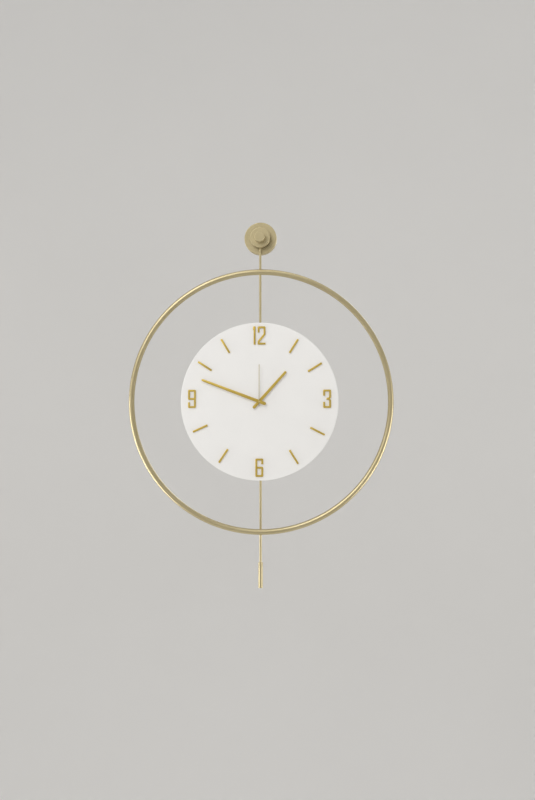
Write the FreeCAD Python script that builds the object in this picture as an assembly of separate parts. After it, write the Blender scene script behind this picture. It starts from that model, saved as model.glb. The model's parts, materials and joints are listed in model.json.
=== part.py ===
"""Pendulum wall clock, in millimetres.

The origin is the centre of the wall plate's back face.
+X is to the right seen from the front, +Y goes into the wall and +Z is up.
Every depth is a distance out from the wall: near is the side towards the wall
and far is the side towards the room. Heights inside the movement are measured
from the axis of the hands.
"""
import FreeCAD
import Part

import math
import os

Vector = FreeCAD.Vector

# ---- overall sizes -------------------------------------------------------
ring_outer_dia = 500.0
ring_top_drop = 59.0         # from the knob's axis down to the ring's highest point
dial_dia = 294.0
weight_overhang = 100.5      # from the ring's lowest point down to the pendulum's tip

# ---- wall knob -----------------------------------------------------------
plate_dia = 61.0
plate_thickness = 12.0
fixing_spacing = 25.0
fixing_hole_dia = 4.5
fixing_head_dia = 9.0
peg_dia = 12.0
peg_screw_dia = 5.0
peg_screw_head_dia = 9.0
peg_screw_head = 4.0
peg_screw_grip = 8.0         # length of the screw inside the peg
spanner_hole_radius = 0.75
spanner_hole_offset = 2.6
stud_dia = 8.0
stud_length = 13.0
disc_dia = 38.0
disc_thickness = 5.0
nut_dia = 19.2
nut_length = 11.5
nut_roof = 3.0
knob_edge_round = 0.7

# ---- hanger, ring and rods -----------------------------------------------
eye_wall = 4.4
eye_shoulder = 0.15          # the eye's faces beyond its socket
eye_gap = 0.5                # end float of the eye on the peg, each side
socket_wall = 1.4
socket_length = 9.0
rod_dia = 4.4
ring_tube_dia = 10.6
ring_tube_wall = 1.0
set_screw_dia = 3.0
set_screw_slot_width = 0.5
set_screw_slot_depth = 0.75

# ---- dial ----------------------------------------------------------------
dial_standoff = 38.0         # wall to the dial's back face
dial_thickness = 4.0
dial_edge_round = 0.5
dial_hole_dia = 5.6
relief = 1.5                 # height of the numerals and markers
marker_width = 3.6
marker_length = 30.0
marker_inset = 10.6          # from the dial's edge to a marker's outer end
# Clockwise from 12 to hours 1, 2, 4, 5, 7, 8, 10 and 11, which are fixed a little unevenly.
marker_angles = (32.0, 58.5, 117.0, 148.0, 213.5, 245.5, 303.0, 328.5)
numeral_height = 34.0
numeral_width = 14.6
numeral_stroke = 3.5
numeral_inset = 24.0         # from the dial's edge to the centre of 12 and 6
side_numeral_inset = 21.0    # from the dial's edge to the centre of 3 and 9
side_numeral_rise = 5.0      # centre of 3 and 9 above the hand axis
numeral_round = 2.0          # on the outside of a stroke's corners
digit_gap = 4.05             # between the 1 and the 2 of 12
one_flag = 1.0               # how far the flag of the 1 stands out
one_flag_drop = 7.0          # from the top of the 1 to its flag's lower end
dial_screw_dia = 3.0
dial_screw_head_dia = 5.6
dial_screw_head = 1.8
dial_screw_bite = 3.0        # depth of the dial's blind holes

# ---- hands ---------------------------------------------------------------
hour_length = 75.0
hour_tail = 17.0
hour_width = 5.6
hour_tip_width = 4.4
minute_length = 115.0
minute_tail = 13.6
minute_width = 6.0
minute_tip_width = 4.2
second_length = 69.0
second_tail = 9.0
second_width = 1.2
hour_hub_web = 1.2           # metal round a hand's hole
minute_hub_web = 1.4
second_hub_web = 1.0
hand_thickness = 0.7
second_hand_thickness = 0.4
hand_gap = 0.7               # between one hand and the next
hour_hand_lift = 0.4         # between the markers and the hour hand
hour_hand_angle = 41.9       # all angles clockwise from 12
minute_hand_angle = 290.7
second_hand_angle = 0.0

# ---- rod anchor ----------------------------------------------------------
anchor_inset = 26.0          # from the dial's top edge to the anchor's centre
anchor_width = 40.0
anchor_height = 24.0
anchor_block_width = 14.0
anchor_flange = 3.0
anchor_screw_spacing = 28.0

# ---- movement case -------------------------------------------------------
case_top_gap = 4.0           # between the minute wheel and the case's top wall
case_floor_gap = 8.0         # between the circuit board and the case's lower end
case_wall = 1.5
case_corner = 4.0
boss_radius = 2.6
boss_inset = 4.0
lug_width = 10.0
lug_length = 8.0
lug_thickness = 2.5
lug_spacing = 36.0
cover_screw_dia = 2.0
cover_screw_head_dia = 3.6
cover_screw_head = 1.1
cover_screw_bite = 7.5

# ---- battery, size AA ----------------------------------------------------
cell_dia = 14.2
cell_body = 49.3
cell_nub = 1.2
cell_nub_dia = 5.3
bay_drop = 28.4              # from the hand axis down to the battery bay's roof
bay_depth_play = 0.3         # between the cell and both faces of the movement
cell_play = 0.5
contact_thickness = 0.4
contact_gap = 0.05
leaf_bow = 2.0               # how far the leaf contact stands off the case's wall
contact_width = 8.0
contact_height = 10.0

# ---- wheels: teeth and modules -------------------------------------------
second_pinion_teeth = 8
third_wheel_teeth = 60
third_pinion_teeth = 8
centre_wheel_teeth = 64
second_wheel_teeth = 60
intermediate_pinion_teeth = 10
intermediate_wheel_teeth = 45
rotor_pinion_teeth = 9
cannon_pinion_teeth = 14
minute_wheel_teeth = 42
minute_pinion_teeth = 10
hour_wheel_teeth = 40
seconds_module = 0.36        # second pinion and third wheel
rotor_module = 0.34          # rotor, intermediate and second wheels
motion_module = 0.45         # cannon pinion and minute wheel
wheel_share = 0.42           # tooth thickness over pitch
pinion_share = 0.34
wheel_addendum = 0.95        # in modules
pinion_addendum = 0.45
dedendum = 1.45
minute_direction = 90.0      # directions between arbors, anticlockwise from +X
third_direction = 210.0
intermediate_direction = -30.0
rotor_direction = -20.0      # from the intermediate arbor

# ---- wheels: layers, measured back from the case's inner face -------------
hour_wheel_layer = (0.7, 2.2)
minute_pinion_layer = (0.6, 3.3)
minute_wheel_layer = (3.3, 4.5)
cannon_pinion_layer = (3.1, 4.7)
stator_layer = (4.7, 5.5)
rotor_magnet_layer = (4.0, 6.5)
centre_wheel_layer = (5.3, 6.3)
third_pinion_layer = (5.0, 6.6)
third_wheel_layer = (7.5, 8.5)
second_pinion_layer = (7.3, 8.7)
intermediate_wheel_layer = (7.9, 8.9)
rotor_pinion_layer = (7.6, 9.2)
second_wheel_layer = (9.7, 10.7)
intermediate_pinion_layer = (9.4, 11.0)

# ---- arbors and fits -----------------------------------------------------
running_gap = 0.05           # radial clearance of every turning fit
shoulder_gap = 0.1           # end float of an arbor's shoulders
pivot_length = 1.0
pivot_radius = 0.35
arbor_radius = 0.5
intermediate_arbor_radius = 0.4
setting_arbor_radius = 0.9
centre_tube_radius = 1.0
cannon_pipe_radius = 1.6
hour_pipe_radius = 2.5
hour_pipe_wall = 0.85
knob_dia = 14.0
knob_length = 6.0
knob_gap = 0.5
knob_flutes = 16
flute_radius = 0.8
flute_offset = 0.35          # a flute's centre beyond the knob's rim

# ---- step motor ----------------------------------------------------------
magnet_radius = 3.1
stator_gap = 0.5
stator_web = 2.2
coil_length = 15.0
coil_radius = 4.5
coil_bay_gap = 0.9           # between the coil and the battery bay's roof
coil_centre = 13.5           # coil's centre, right of the hand axis
flange_thickness = 0.8
winding_step = 0.5
core_width = 3.0
bobbin_barrel_radius = 2.25
core_gap = 0.1
leg_width = 4.0

# ---- pendulum ------------------------------------------------------------
pendulum_gap = 1.6           # between the ring and the pendulum rod behind it
hub_bay_gap = 2.9            # between the battery bay and the pendulum's hub
pin_dia = 3.0
pin_head_dia = 5.6
pin_head = 1.2
pin_boss_radius = 4.0
pin_boss_length = 5.0
hub_radius = 5.5
hub_length = 8.4
hub_gap = 0.4
clip_thickness = 1.0
clip_radius = 3.6
pin_overhang = 0.8
arm_width = 8.0
arm_thickness = 5.5
arm_length = 29.0
rod_block_wall = 1.6
rod_block_top = 12.0         # below the pendulum's pin
rod_block_bottom = 30.0
magnet_drop = 22.0           # from the pendulum's pin to its magnet
magnet_cup_radius = 5.0
drive_magnet_radius = 3.5
drive_magnet_length = 4.1
magnet_gap = 0.6
pendulum_coil_radius = 7.0
pendulum_coil_bore = 2.5
pendulum_coil_length = 7.0
weight_dia = 8.3
weight_length = 48.0
weight_thread_dia = 3.4
weight_thread_length = 16.0

# ---- circuit board -------------------------------------------------------
board_thickness = 1.2
board_depth = 5.8            # back from the case's inner face
board_right = -9.0
board_bay_gap = 1.9          # between the battery bay's floor and the board
board_height = 29.0
board_post_radius = 1.5
board_post_side = 8.0        # from the case's side to a post
board_post_inset = 5.0       # from the board's end to a post
chip_size = 6.0
chip_height = 1.2
crystal_length = 8.0
crystal_width = 3.6
crystal_height = 3.0
crystal_end_radius = 1.6

# ---- places worked out from the sizes ------------------------------------
eye_width = rod_dia + 2 * (socket_wall + eye_shoulder)
eye_near = plate_thickness + eye_gap
eye_far = eye_near + eye_width
rod_depth = (eye_near + eye_far) / 2
disc_near = eye_far + eye_gap
disc_far = disc_near + disc_thickness
eye_radius = peg_dia / 2 + running_gap + eye_wall
ring_radius = (ring_outer_dia - ring_tube_dia) / 2
hand_axis = -ring_top_drop - ring_outer_dia / 2
dial_back = dial_standoff
dial_front = dial_back + dial_thickness
hour_hand_near = dial_front + relief + hour_hand_lift
minute_hand_near = hour_hand_near + hand_thickness + hand_gap
second_hand_near = minute_hand_near + hand_thickness + hand_gap
inside = dial_back - case_wall
movement_depth = cell_dia + bay_depth_play + case_wall
cover_back = dial_back - movement_depth
cover_front = cover_back + case_wall
case_width = (cell_body + cell_nub + leaf_bow + contact_thickness
              + 2 * contact_gap + 2 * case_wall)
half_case = case_width / 2
bay_top = -bay_drop
cell_height = bay_top - cell_play - cell_dia / 2
bay_bottom = cell_height - cell_dia / 2 - cell_play
coil_height = bay_top + case_wall + coil_bay_gap + coil_radius
board_top = bay_bottom - case_wall - board_bay_gap
board_bottom = board_top - board_height
case_below = case_floor_gap - board_bottom
third_distance = (second_pinion_teeth + third_wheel_teeth) * seconds_module / 2
centre_module = 2 * third_distance / (third_pinion_teeth + centre_wheel_teeth)
intermediate_distance = (second_wheel_teeth + intermediate_pinion_teeth) * rotor_module / 2
rotor_distance = (intermediate_wheel_teeth + rotor_pinion_teeth) * rotor_module / 2
minute_distance = (cannon_pinion_teeth + minute_wheel_teeth) * motion_module / 2
hour_module = 2 * minute_distance / (minute_pinion_teeth + hour_wheel_teeth)
pendulum_depth = rod_depth - ring_tube_dia / 2 - pendulum_gap - rod_dia / 2
case_above = (minute_distance + minute_wheel_teeth * motion_module / 2
              + wheel_addendum * motion_module + case_top_gap + case_wall)
pivot_height = hand_axis + bay_bottom - hub_bay_gap - hub_radius
magnet_height = pivot_height - magnet_drop
anchor_height_at = hand_axis + dial_dia / 2 - anchor_inset
weight_bottom = hand_axis - ring_outer_dia / 2 - weight_overhang
weight_top = weight_bottom + weight_length
lug_places = [(side * lug_spacing / 2, edge + side_out * lug_length / 2)
              for side in (-1, 1)
              for edge, side_out in ((hand_axis + case_above, 1), (hand_axis - case_below, -1))]
boss_places = [(side * (half_case - boss_inset), height)
               for side in (-1, 1)
               for height in (hand_axis + case_above - boss_inset,
                              hand_axis - case_below + boss_inset)]
anchor_screw_places = [(side * anchor_screw_spacing / 2, anchor_height_at) for side in (-1, 1)]
board_posts = [(-half_case + board_post_side, hand_axis + height)
               for height in (board_top - board_post_inset, board_bottom + board_post_inset)]


def polar(place, distance, degrees):
    """The point at a distance and direction from a place in the dial's plane."""
    angle = math.radians(degrees)
    return place[0] + distance * math.cos(angle), place[1] + distance * math.sin(angle)


axis_place = (0.0, hand_axis)
third_place = polar(axis_place, third_distance, third_direction)
intermediate_place = polar(axis_place, intermediate_distance, intermediate_direction)
rotor_place = polar(intermediate_place, rotor_distance, rotor_direction)
minute_place = polar(axis_place, minute_distance, minute_direction)


# ---- building blocks -----------------------------------------------------
def disc(place, radius, near, far):
    """A cylinder that points out of the wall."""
    return Part.makeCylinder(radius, far - near, Vector(place[0], -far, place[1]), Vector(0, 1, 0))


def cone(place, near_radius, far_radius, near, far):
    """A cone that points out of the wall."""
    return Part.makeCone(far_radius, near_radius, far - near,
                         Vector(place[0], -far, place[1]), Vector(0, 1, 0))


def slab(left, right, bottom, top, near, far):
    """A box from its six sides."""
    return Part.makeBox(right - left, far - near, top - bottom, Vector(left, -far, bottom))


def upright(depth, radius, bottom, top, x=0.0):
    """A cylinder that stands upright at a depth from the wall."""
    return Part.makeCylinder(radius, top - bottom, Vector(x, -depth, bottom), Vector(0, 0, 1))


def sideways(depth, height, radius, left, right):
    """A cylinder that lies along X."""
    return Part.makeCylinder(radius, right - left, Vector(left, -depth, height), Vector(1, 0, 0))


def layer(depths):
    """Near and far depths of a layer measured back from the case's inner face."""
    return inside - depths[1], inside - depths[0]


def plate(edges, near, far):
    """A flat piece from closed outline edges drawn at y = 0."""
    face = Part.Face(Part.Wire(edges))
    face.translate(Vector(0, -far, 0))
    return face.extrude(Vector(0, far - near, 0))


def flat(point):
    """A point of the dial's plane as a vector at y = 0."""
    return Vector(point[0], 0, point[1])


def arc(start, middle, end):
    return Part.Arc(flat(start), flat(middle), flat(end)).toShape()


def line(start, end):
    return Part.makeLine(flat(start), flat(end))


def round_rims(shape, radius, depths, amount):
    """Round the circular edges of one radius that lie at the given depths."""
    rims = [edge for edge in shape.Edges
            if isinstance(edge.Curve, Part.Circle) and abs(edge.Curve.Radius - radius) < 1e-6
            and any(abs(edge.Curve.Center.y + depth) < 1e-6 for depth in depths)]
    return shape.makeFillet(amount, rims)


def turn(shape, degrees, place=axis_place):
    """Turn a shape clockwise, seen from the front, about a place on the dial."""
    shape.rotate(Vector(place[0], 0, place[1]), Vector(0, 1, 0), degrees)
    return shape


def toothed(place, teeth, module, share, addendum, first_tooth, depths):
    """A toothed disc with radial flanks and rounded tips; one tooth is at first_tooth degrees."""
    near, far = layer(depths)
    pitch = teeth * module / 2
    root = pitch - dedendum * module
    tip = pitch + addendum * module
    step = 360.0 / teeth
    half = share * step / 2
    edges = []
    for number in range(teeth):
        middle = first_tooth + number * step
        foot_left = polar(place, root, middle - half)
        left = polar(place, pitch, middle - half)
        right = polar(place, pitch, middle + half)
        foot_right = polar(place, root, middle + half)
        next_foot = polar(place, root, middle + step - half)
        edges.append(line(foot_left, left))
        edges.append(arc(left, polar(place, tip, middle), right))
        edges.append(line(right, foot_right))
        edges.append(line(foot_right, next_foot))
    return plate(edges, near, far)


def wheel(place, teeth, module, towards, depths):
    """A large wheel with a tooth pointing towards its partner."""
    return toothed(place, teeth, module, wheel_share, wheel_addendum, towards, depths)


def pinion(place, teeth, module, towards, depths):
    """A small pinion with a gap pointing towards its partner."""
    return toothed(place, teeth, module, pinion_share, pinion_addendum,
                   towards + 180.0 / teeth, depths)


def arbor(place, radius, near=None, far=None):
    """An arbor with a thin pivot at each end, in blind holes of the cover and the case."""
    near = cover_front + shoulder_gap if near is None else near
    far = inside - shoulder_gap if far is None else far
    body = disc(place, radius, near, far)
    if near > cover_back:
        body = body.fuse(disc(place, pivot_radius, near - pivot_length, near))
    return body.fuse(disc(place, pivot_radius, far, far + pivot_length))


def screw(place, radius, head_radius, head, seat, length):
    """A pan-head screw driven from the wall side; seat is the depth of the head's seat."""
    shank = disc(place, radius, seat, seat + length)
    cap = disc(place, head_radius, seat - head, seat)
    slot = slab(place[0] - head_radius, place[0] + head_radius, place[1] - head / 5,
                place[1] + head / 5, seat - head, seat - head / 2)
    return shank.fuse(cap).cut(slot)


def unit(start, end):
    length = math.hypot(end[0] - start[0], end[1] - start[1])
    return (end[0] - start[0]) / length, (end[1] - start[1]) / length


def mitred_side(points, offset):
    """The corners of one side of a stroke; a positive offset is its left side."""
    ways = [unit(start, end) for start, end in zip(points, points[1:])]
    side = []
    for at, come, go in zip(points, ways[:1] + ways, ways + ways[-1:]):
        stretch = offset / (1.0 + come[0] * go[0] + come[1] * go[1])
        side.append((at[0] - stretch * (come[1] + go[1]), at[1] + stretch * (come[0] + go[0])))
    return side


def stroke(points, width, rounding, near, far):
    """A flat strip of even width along points, rounded on the outside of every corner."""
    left = mitred_side(points, width / 2)
    right = mitred_side(points, -width / 2)
    outline = left + right[::-1]
    body = plate([line(a, b) for a, b in zip(outline, outline[1:] + outline[:1])], near, far)
    outer = [max(pair, key=lambda corner: math.dist(corner, before) + math.dist(corner, after))
             for pair, before, after in zip(zip(left[1:-1], right[1:-1]), points, points[2:])]
    corners = [edge for edge in body.Edges
               if any(edge.distToShape(Part.makeLine(Vector(x, -far, z), Vector(x, -near, z)))[0] < 1e-6
                      and edge.BoundBox.YLength > (far - near) / 2 for x, z in outer)]
    return body.makeFillet(rounding, corners)


# ---- wall knob -----------------------------------------------------------
def wall_plate():
    body = disc((0, 0), plate_dia / 2, 0, plate_thickness)
    body = round_rims(body, plate_dia / 2, [plate_thickness], knob_edge_round)
    sink = (fixing_head_dia - fixing_hole_dia) / 2
    for side in (-1, 1):
        place = (side * fixing_spacing / 2, 0)
        body = body.cut(disc(place, fixing_hole_dia / 2, 0, plate_thickness))
        body = body.cut(cone(place, fixing_hole_dia / 2, fixing_head_dia / 2,
                             plate_thickness - sink, plate_thickness))
    body = body.cut(disc((0, 0), peg_screw_dia / 2, 0, plate_thickness))
    return body.cut(disc((0, 0), peg_screw_head_dia / 2, 0, peg_screw_head))


def hanging_peg():
    neck = disc((0, 0), peg_dia / 2, plate_thickness, disc_near)
    stud = disc((0, 0), stud_dia / 2, disc_near, disc_near + stud_length)
    bore = disc((0, 0), peg_screw_dia / 2, plate_thickness, plate_thickness + peg_screw_grip)
    return neck.fuse(stud).cut(bore)


def peg_screw():
    """A flush two-hole screw, so the plate's back stays flat at its centre."""
    head = disc((0, 0), peg_screw_head_dia / 2, 0, peg_screw_head)
    shank = disc((0, 0), peg_screw_dia / 2, peg_screw_head, plate_thickness + peg_screw_grip)
    body = head.fuse(shank)
    for side in (-1, 1):
        body = body.cut(disc((side * spanner_hole_offset, 0), spanner_hole_radius,
                             0, peg_screw_head / 2))
    return body


def retaining_disc():
    body = disc((0, 0), disc_dia / 2, disc_near, disc_far)
    body = round_rims(body, disc_dia / 2, [disc_far], knob_edge_round)
    return body.cut(disc((0, 0), stud_dia / 2, disc_near, disc_far))


def cap_nut():
    body = disc((0, 0), nut_dia / 2, disc_far, disc_far + nut_length)
    body = round_rims(body, nut_dia / 2, [disc_far + nut_length], knob_edge_round)
    return body.cut(disc((0, 0), stud_dia / 2, disc_far, disc_far + nut_length - nut_roof))


# ---- hanger, rods and ring -----------------------------------------------
def hanger_eye():
    eye = disc((0, 0), eye_radius, eye_near, eye_far)
    socket_bottom = -eye_radius - socket_length + eye_wall
    socket = upright(rod_depth, rod_dia / 2 + socket_wall, socket_bottom, 0)
    body = eye.fuse(socket)
    body = body.cut(disc((0, 0), peg_dia / 2 + running_gap, eye_near, eye_far))
    return body.cut(upright(rod_depth, rod_dia / 2, socket_bottom, upper_rod_top()))


def upper_rod_top():
    """The rod's top stops in the eye's wall, clear of the peg's bore."""
    return -eye_radius + eye_wall / 2


def anchor_rod_bottom():
    return anchor_height_at - anchor_height / 2 + socket_wall


def upper_rod():
    return upright(rod_depth, rod_dia / 2, anchor_rod_bottom(), upper_rod_top())


def ring_tube():
    centre = Vector(0, -rod_depth, hand_axis)
    outer = Part.makeTorus(ring_radius, ring_tube_dia / 2, centre, Vector(0, 1, 0))
    inner = Part.makeTorus(ring_radius, ring_tube_dia / 2 - ring_tube_wall, centre, Vector(0, 1, 0))
    top = hand_axis + ring_radius
    body = outer.cut(inner)
    body = body.cut(upright(rod_depth, rod_dia / 2, top - ring_tube_dia, top + ring_tube_dia))
    return body.cut(disc((0, top), set_screw_dia / 2, rod_depth - ring_tube_dia, rod_depth))


def grub_screw(place, near, far):
    """A headless screw with a slot in its outer end."""
    body = disc(place, set_screw_dia / 2, near, far)
    slot = slab(place[0] - set_screw_dia, place[0] + set_screw_dia,
                place[1] - set_screw_slot_width / 2, place[1] + set_screw_slot_width / 2,
                near, near + set_screw_slot_depth)
    return body.cut(slot)


def ring_set_screw():
    return grub_screw((0, hand_axis + ring_radius), rod_depth - ring_tube_dia / 2 + ring_tube_wall / 4,
                      rod_depth - rod_dia / 2)


# ---- dial ----------------------------------------------------------------
def dial_plate():
    body = disc(axis_place, dial_dia / 2, dial_back, dial_front)
    body = round_rims(body, dial_dia / 2, [dial_back, dial_front], dial_edge_round)
    body = body.cut(disc(axis_place, dial_hole_dia / 2, dial_back, dial_front))
    for place in lug_places + anchor_screw_places:
        body = body.cut(disc(place, dial_screw_dia / 2, dial_back, dial_back + dial_screw_bite))
    return body


def numeral_stroke_at(centre, points):
    """One stroke of a numeral; points are shares of the half width and half height."""
    half_wide = (numeral_width - numeral_stroke) / 2
    half_high = (numeral_height - numeral_stroke) / 2
    spots = [(centre[0] + x * half_wide, centre[1] + z * half_high) for x, z in points]
    return stroke(spots, numeral_stroke, numeral_round, dial_front, dial_front + relief)


def digit_one(centre):
    left = centre[0] - numeral_stroke / 2
    right = centre[0] + numeral_stroke / 2
    top = centre[1] + numeral_height / 2
    foot = centre[1] - numeral_height / 2
    flag_end = left - one_flag
    flag_low = top - one_flag_drop
    corners = [(left, foot), (left, flag_low), (flag_end, flag_low), (flag_end, top - one_flag),
               (left, top), (right, top), (right, foot)]
    edges = [line(start, end) for start, end in zip(corners, corners[1:] + corners[:1])]
    return plate(edges, dial_front, dial_front + relief)


def digit_two(centre):
    arch = numeral_stroke_at(centre, [(-1, 0.36), (-1, 1), (1, 1), (1, 0.15), (-1, -0.75), (-1, -1)])
    half_wide = numeral_width / 2
    bottom = centre[1] - numeral_height / 2
    foot = slab(centre[0] - half_wide, centre[0] + half_wide, bottom, bottom + numeral_stroke,
                dial_front, dial_front + relief)
    return arch.fuse(foot)


def digit_three(centre):
    upper = numeral_stroke_at(centre, [(-1, 0.38), (-1, 1), (1, 1), (1, 0.2), (0.5, 0), (-0.2, 0)])
    lower = numeral_stroke_at(centre, [(-1, -0.38), (-1, -1), (1, -1), (1, -0.2), (0.5, 0), (-0.2, 0)])
    return upper.fuse(lower)


def digit_six(centre):
    hook = numeral_stroke_at(centre, [(1, 0.42), (1, 1), (-1, 1), (-1, -1), (0, -1)])
    bowl = numeral_stroke_at(centre, [(-1, 0), (1, 0), (1, -1), (0, -1)])
    return hook.fuse(bowl)


def numeral_12():
    half_pair = (one_flag + numeral_stroke + digit_gap + numeral_width) / 2
    height = hand_axis + dial_dia / 2 - numeral_inset
    one = digit_one((-half_pair + one_flag + numeral_stroke / 2, height))
    two = digit_two((half_pair - numeral_width / 2, height))
    return Part.Compound([one, two])


def numeral_3():
    return digit_three((dial_dia / 2 - side_numeral_inset, hand_axis + side_numeral_rise))


def numeral_6():
    return digit_six((0.0, hand_axis - dial_dia / 2 + numeral_inset))


def numeral_9():
    centre = (-dial_dia / 2 + side_numeral_inset, hand_axis + side_numeral_rise)
    return turn(digit_six(centre), 180.0, centre)


def hour_markers():
    outer = dial_dia / 2 - marker_inset
    bars = []
    for angle in marker_angles:
        bar = slab(-marker_width / 2, marker_width / 2, hand_axis + outer - marker_length,
                   hand_axis + outer, dial_front, dial_front + relief)
        bars.append(turn(bar, angle))
    return Part.Compound(bars)


# ---- hands ---------------------------------------------------------------
def tapered_hand(length, tail, width, tip_width, near):
    """A flat hand that points to 12, with rounded ends."""
    wide = width / 2
    narrow = tip_width / 2
    tip = hand_axis + length
    end = hand_axis - tail
    edges = [line((-wide, end + wide), (-narrow, tip - narrow)),
             arc((-narrow, tip - narrow), (0, tip), (narrow, tip - narrow)),
             line((narrow, tip - narrow), (wide, end + wide)),
             arc((wide, end + wide), (0, end), (-wide, end + wide))]
    return plate(edges, near, near + hand_thickness)


def with_hub(blade, bore_radius, web, near, thickness):
    """Adds the round eye that carries a hand on its pipe."""
    eye = disc(axis_place, bore_radius + web, near, near + thickness)
    return blade.fuse(eye).cut(disc(axis_place, bore_radius, near, near + thickness))


def hour_hand():
    blade = tapered_hand(hour_length, hour_tail, hour_width, hour_tip_width, hour_hand_near)
    body = with_hub(blade, hour_pipe_radius, hour_hub_web, hour_hand_near, hand_thickness)
    return turn(body, hour_hand_angle)


def minute_hand():
    blade = tapered_hand(minute_length, minute_tail, minute_width, minute_tip_width,
                         minute_hand_near)
    body = with_hub(blade, cannon_pipe_radius, minute_hub_web, minute_hand_near, hand_thickness)
    return turn(body, minute_hand_angle)


def second_hand():
    blade = slab(-second_width / 2, second_width / 2, hand_axis - second_tail,
                 hand_axis + second_length, second_hand_near,
                 second_hand_near + second_hand_thickness)
    body = with_hub(blade, arbor_radius, second_hub_web, second_hand_near, second_hand_thickness)
    return turn(body, second_hand_angle)


# ---- rod anchor ----------------------------------------------------------
def rod_anchor():
    half = anchor_height / 2
    flange = slab(-anchor_width / 2, anchor_width / 2, anchor_height_at - half,
                  anchor_height_at + half, dial_back - anchor_flange, dial_back)
    upright_edges = [edge for edge in flange.Edges if edge.BoundBox.YLength > anchor_flange / 2]
    flange = flange.makeFillet(anchor_flange, upright_edges)
    block_near = rod_depth - anchor_block_width / 2
    block = slab(-anchor_block_width / 2, anchor_block_width / 2, anchor_height_at - half,
                 anchor_height_at + half, block_near, dial_back - anchor_flange)
    body = flange.fuse(block)
    body = body.cut(upright(rod_depth, rod_dia / 2, anchor_rod_bottom(), anchor_height_at + half))
    body = body.cut(disc((0, anchor_height_at), set_screw_dia / 2, block_near, rod_depth))
    for place in anchor_screw_places:
        body = body.cut(disc(place, dial_screw_dia / 2, dial_back - anchor_flange, dial_back))
    return body


def dial_screws(places, seat):
    """Pan-head screws that hold a flange against the dial's back."""
    length = dial_back + dial_screw_bite - seat
    return Part.Compound([screw(place, dial_screw_dia / 2, dial_screw_head_dia / 2,
                                dial_screw_head, seat, length) for place in places])


def anchor_screws():
    return dial_screws(anchor_screw_places, dial_back - anchor_flange)


def rod_set_screw():
    near = rod_depth - anchor_block_width / 2
    return grub_screw((0, anchor_height_at), near, rod_depth - rod_dia / 2)


# ---- movement case -------------------------------------------------------
def case_outline(inset, near, far):
    """A rounded block as large as the case less an inset all round."""
    body = slab(-half_case + inset, half_case - inset, hand_axis - case_below + inset,
                hand_axis + case_above - inset, near, far)
    corners = [edge for edge in body.Edges if edge.BoundBox.YLength > (far - near) / 2]
    return body.makeFillet(case_corner - inset, corners)


def movement_case():
    body = case_outline(0, cover_front, dial_back)
    body = body.cut(case_outline(case_wall, cover_front, inside))
    for low in (bay_top, bay_bottom - case_wall):
        body = body.fuse(slab(-half_case + case_wall, half_case - case_wall, hand_axis + low,
                              hand_axis + low + case_wall, cover_front, inside))
    for place in boss_places:
        body = body.fuse(disc(place, boss_radius, cover_front, inside))
    for place in board_posts:
        body = body.fuse(disc(place, board_post_radius, inside - board_depth, inside))
    coil_far = cover_front + shoulder_gap + pendulum_coil_length
    body = body.fuse(disc((0, magnet_height), pendulum_coil_bore, cover_front + case_wall, inside))
    body = body.fuse(disc((0, magnet_height), pendulum_coil_radius - case_wall, coil_far, inside))
    for place in lug_places:
        edge = hand_axis + case_above if place[1] > hand_axis else hand_axis - case_below
        low = min(edge, 2 * place[1] - edge)
        body = body.fuse(slab(place[0] - lug_width / 2, place[0] + lug_width / 2, low,
                              low + lug_length, dial_back - lug_thickness, dial_back))
        body = body.cut(disc(place, dial_screw_dia / 2, dial_back - lug_thickness, dial_back))
    for place in boss_places:
        body = body.cut(disc(place, cover_screw_dia / 2, cover_front, cover_back + cover_screw_bite))
    body = body.cut(disc(axis_place, hour_pipe_radius + running_gap, inside, dial_back))
    for place in (third_place, intermediate_place, rotor_place, minute_place):
        body = body.cut(disc(place, pivot_radius + running_gap, inside, inside + pivot_length))
    return body


def movement_cover():
    body = case_outline(0, cover_back, cover_front)
    body = body.cut(slab(-half_case + case_wall, half_case - case_wall,
                         hand_axis + bay_bottom, hand_axis + bay_top, cover_back, cover_front))
    body = body.fuse(disc((0, pivot_height), pin_boss_radius, cover_back - pin_boss_length, cover_back))
    body = body.cut(disc((0, pivot_height), pin_dia / 2, cover_back - pin_boss_length, cover_front))
    for place in boss_places:
        body = body.cut(disc(place, cover_screw_dia / 2, cover_back, cover_front))
    for place in (axis_place, third_place, intermediate_place, rotor_place):
        body = body.cut(disc(place, pivot_radius + running_gap,
                             cover_front - pivot_length, cover_front))
    return body.cut(disc(minute_place, setting_arbor_radius + running_gap, cover_back, cover_front))


def cover_screws():
    return Part.Compound([screw(place, cover_screw_dia / 2, cover_screw_head_dia / 2,
                                cover_screw_head, cover_back, cover_screw_bite)
                          for place in boss_places])


def movement_screws():
    return dial_screws(lug_places, dial_back - lug_thickness)


# ---- going train ---------------------------------------------------------
def second_wheel():
    far = second_hand_near + second_hand_thickness
    body = disc(axis_place, arbor_radius, cover_front + shoulder_gap, far)
    body = body.fuse(disc(axis_place, pivot_radius, cover_front + shoulder_gap - pivot_length,
                          cover_front + shoulder_gap))
    body = body.fuse(wheel(axis_place, second_wheel_teeth, rotor_module,
                           intermediate_direction, second_wheel_layer))
    return body.fuse(pinion(axis_place, second_pinion_teeth, seconds_module,
                            third_direction, second_pinion_layer))


def third_wheel():
    back = third_direction + 180.0
    body = arbor(third_place, arbor_radius)
    body = body.fuse(wheel(third_place, third_wheel_teeth, seconds_module, back, third_wheel_layer))
    return body.fuse(pinion(third_place, third_pinion_teeth, centre_module, back, third_pinion_layer))


def centre_wheel():
    near, far = layer(centre_wheel_layer)
    body = wheel(axis_place, centre_wheel_teeth, centre_module, third_direction, centre_wheel_layer)
    body = body.fuse(disc(axis_place, centre_tube_radius, near, centre_tube_end()))
    return body.cut(disc(axis_place, arbor_radius + running_gap, near, centre_tube_end()))


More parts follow.
